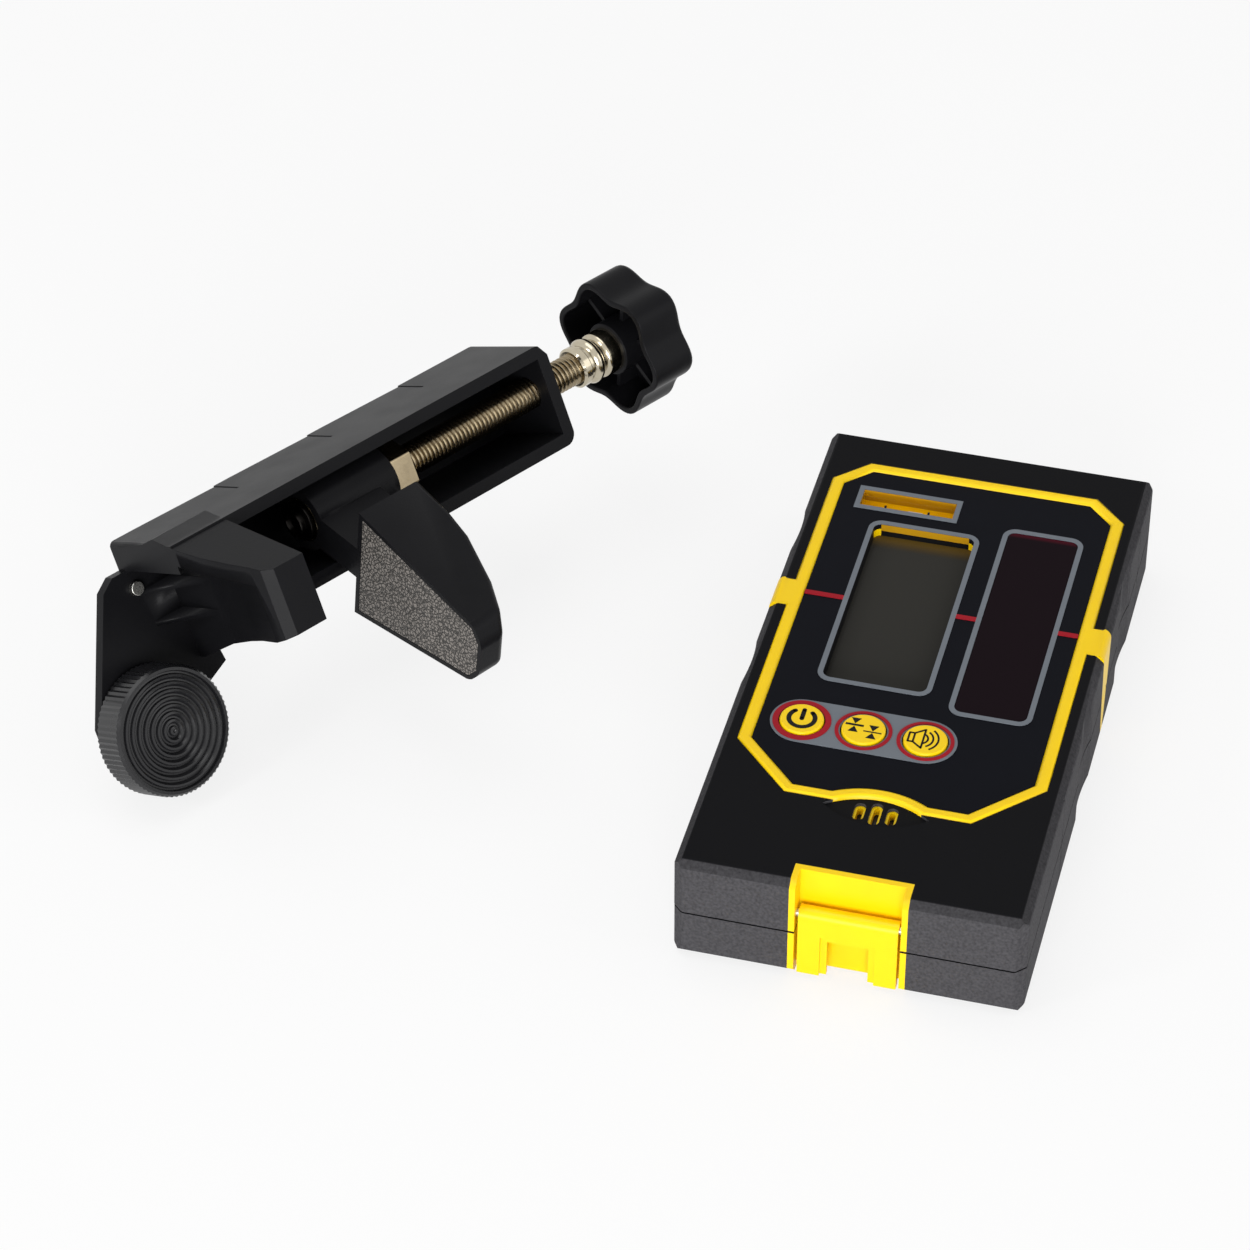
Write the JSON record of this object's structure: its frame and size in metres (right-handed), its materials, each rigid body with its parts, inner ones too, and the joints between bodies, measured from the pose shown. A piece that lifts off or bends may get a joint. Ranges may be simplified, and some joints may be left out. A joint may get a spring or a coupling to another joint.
{
  "type": "laser receiver",
  "caption": "Handheld laser receiver with display, sensor window, level vial and push buttons in a soft black and yellow housing, with a screw clamp that fixes it to a survey rod.",
  "frame": {"origin": "centre of the receiver's back face, on the surface that it lies on", "axes": "+Z out of the display, +Y along the housing to the end with the level vial, +X to the right of the display"},
  "size_m": [0.2274, 0.176, 0.0682],
  "materials": {
    "soft_cover": "soft overmoulded rubber, fine spark texture",
    "yellow_shell": "moulded yellow plastic, satin",
    "yellow_key": "moulded yellow plastic, semi-gloss",
    "gasket": "black gasket rubber",
    "panel_film": "dark printed polycarbonate film, satin",
    "grey_print": "grey ink",
    "red_print": "red ink",
    "sensor_filter": "dark red infrared filter, glossy",
    "vial_glass": "yellow-green level vial",
    "black_line": "black line",
    "display_glass": "unlit display behind glass",
    "white_holder": "white moulded holder",
    "circuit_board": "green circuit board",
    "black_chip": "black sensor packages",
    "zinc_steel": "zinc-plated steel",
    "turned_brass": "turned brass",
    "nickel_thread": "nickel-toned screw and hexagonal bush",
    "battery_case": "plain battery case",
    "clamp_black": "black glass-filled nylon",
    "grip_pad": "grained grip rubber"
  },
  "bodies": {
    "receiver": {"rear_cover": "soft_cover", "rear_shell": "yellow_shell", "seam_seal": "gasket", "front_shell": "yellow_shell", "front_cover": "soft_cover", "housing_screws": "zinc_steel", "face_panel": "panel_film", "window_frames": "grey_print", "centre_marks": "red_print", "sensor_window": "sensor_filter", "key_strip": "grey_print", "key_rings": "red_print", "level_vial": "vial_glass", "vial_lines": "black_line", "lcd_glass": "display_glass", "lcd_holder": "white_holder", "sensor_board": "circuit_board", "photodiodes": "black_chip", "main_board": "circuit_board", "board_screws": "zinc_steel", "dome_switches": "zinc_steel", "buzzer": "turned_brass", "battery": "battery_case", "battery_contacts": "zinc_steel", "latch_pin": "zinc_steel", "thread_insert": "turned_brass"},
    "power_key": {"power_button": "yellow_key"},
    "accuracy_key": {"accuracy_button": "yellow_key"},
    "volume_key": {"volume_button": "yellow_key"},
    "latch_lever": {"latch": "yellow_key"},
    "door": {"battery_door": "soft_cover"},
    "clamp": {"clamp_frame": "clamp_black", "fixed_pad": "grip_pad", "locating_pin": "zinc_steel", "wall_nut": "turned_brass"},
    "bush": {"jaw_bush": "nickel_thread"},
    "screw": {"lead_screw": "nickel_thread", "ferrule": "turned_brass", "star_knob": "clamp_black", "jaw_clip": "zinc_steel"},
    "jaw": {"moving_jaw": "clamp_black", "jaw_pad": "grip_pad"},
    "thumb": {"thumbwheel": "clamp_black", "thumb_stud": "zinc_steel"}
  },
  "joints": [
    {"name": "power_press", "type": "slide", "parent": "receiver", "child": "power_key", "axis": [0, 0, -1], "range_m": [0, 0.0006], "stiffness_N_per_m": 800, "springref_m": -0.001},
    {"name": "accuracy_press", "type": "slide", "parent": "receiver", "child": "accuracy_key", "axis": [0, 0, -1], "range_m": [0, 0.0006], "stiffness_N_per_m": 800, "springref_m": -0.001},
    {"name": "volume_press", "type": "slide", "parent": "receiver", "child": "volume_key", "axis": [0, 0, -1], "range_m": [0, 0.0006], "stiffness_N_per_m": 800, "springref_m": -0.001},
    {"name": "latch_swing", "type": "hinge", "parent": "receiver", "child": "latch_lever", "pos_m": [0, -0.0781, 0.0173], "axis": [-1, 0, 0], "range_deg": [0, 75]},
    {"name": "door_out", "type": "slide", "parent": "receiver", "child": "door", "axis": [0, 0, -1], "range_m": [0, 0.03]},
    {"name": "clamp_lift", "type": "slide", "parent": "receiver", "child": "clamp", "axis": [0, 0, 1], "range_m": [0, 0.15]},
    {"name": "jaw_slide", "type": "slide", "parent": "clamp", "child": "bush", "axis": [0.5194, 0.8543, -0.0209], "range_m": [-0.01, 0.04]},
    {"name": "screw_turn", "type": "hinge", "parent": "bush", "child": "screw", "pos_m": [-0.11642, 0.0418, 0.04629], "axis": [0.5194, 0.8543, -0.0209], "range_deg": [-2900, 11600]},
    {"name": "jaw_swing", "type": "hinge", "parent": "bush", "child": "jaw", "pos_m": [-0.14135, 0.0008, 0.0473], "axis": [0.5194, 0.8543, -0.0209], "range_deg": [-53, 0]},
    {"name": "thumb_spin", "type": "hinge", "parent": "clamp", "child": "thumb", "pos_m": [-0.17186, -0.0523, 0.01367], "axis": [0.7589, -0.4499, 0.4709], "continuous": true}
  ],
  "couplings": [
    {"joint": "screw_turn", "follows": "jaw_slide", "rad_per_m": 5026.5}
  ]
}
